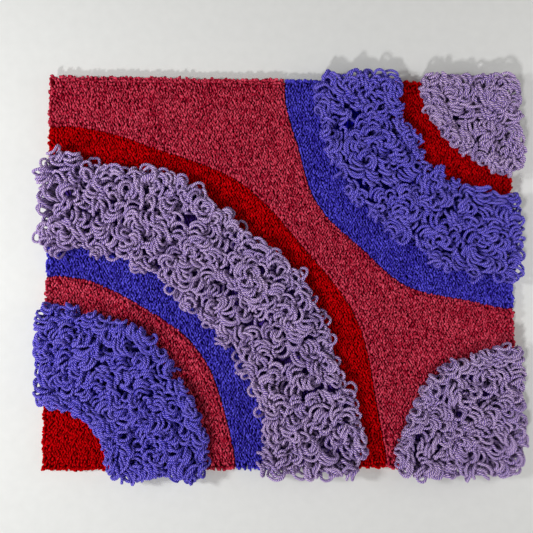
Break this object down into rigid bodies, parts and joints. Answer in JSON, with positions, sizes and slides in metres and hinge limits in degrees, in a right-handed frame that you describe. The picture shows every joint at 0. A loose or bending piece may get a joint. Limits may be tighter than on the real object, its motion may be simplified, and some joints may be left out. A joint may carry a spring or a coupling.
{
  "type": "tufted wall art",
  "caption": "Rectangular tufted yarn panel: low sheared cut pile in rose, red and violet, with bands of tall curling loop pile in lavender and violet fanning from its corners.",
  "frame": {"origin": "middle of the flat back, which lies on the surface", "axes": "+X along the longer side, +Y along the shorter side towards the design's upper edge, +Z out of the pile"},
  "size_m": [0.5265, 0.4425, 0.0259],
  "materials": {
    "foundation_cloth": "woven monk's cloth, unbleached, latex-backed",
    "rose_cut_pile": "sheared worsted-weight acrylic yarn",
    "red_cut_pile": "sheared worsted-weight acrylic yarn",
    "violet_cut_pile": "sheared worsted-weight acrylic yarn",
    "violet_loop_pile": "uncut loops of plied worsted-weight acrylic yarn",
    "lavender_loop_pile": "uncut loops of plied worsted-weight acrylic yarn"
  },
  "bodies": {
    "root": {"foundation_cloth": "foundation_cloth", "lower_left_red_cut_corner": "red_cut_pile", "lower_left_violet_loops": "violet_loop_pile", "lower_left_rose_cut": "rose_cut_pile", "lower_left_violet_cut": "violet_cut_pile", "lower_left_lavender_loops": "lavender_loop_pile", "lower_left_red_cut_rim": "red_cut_pile", "upper_right_lavender_loops": "lavender_loop_pile", "upper_right_red_cut": "red_cut_pile", "upper_right_violet_loops": "violet_loop_pile", "upper_right_violet_cut": "violet_cut_pile", "lower_right_lavender_loops": "lavender_loop_pile", "rose_cut_ground": "rose_cut_pile"}
  },
  "joints": []
}
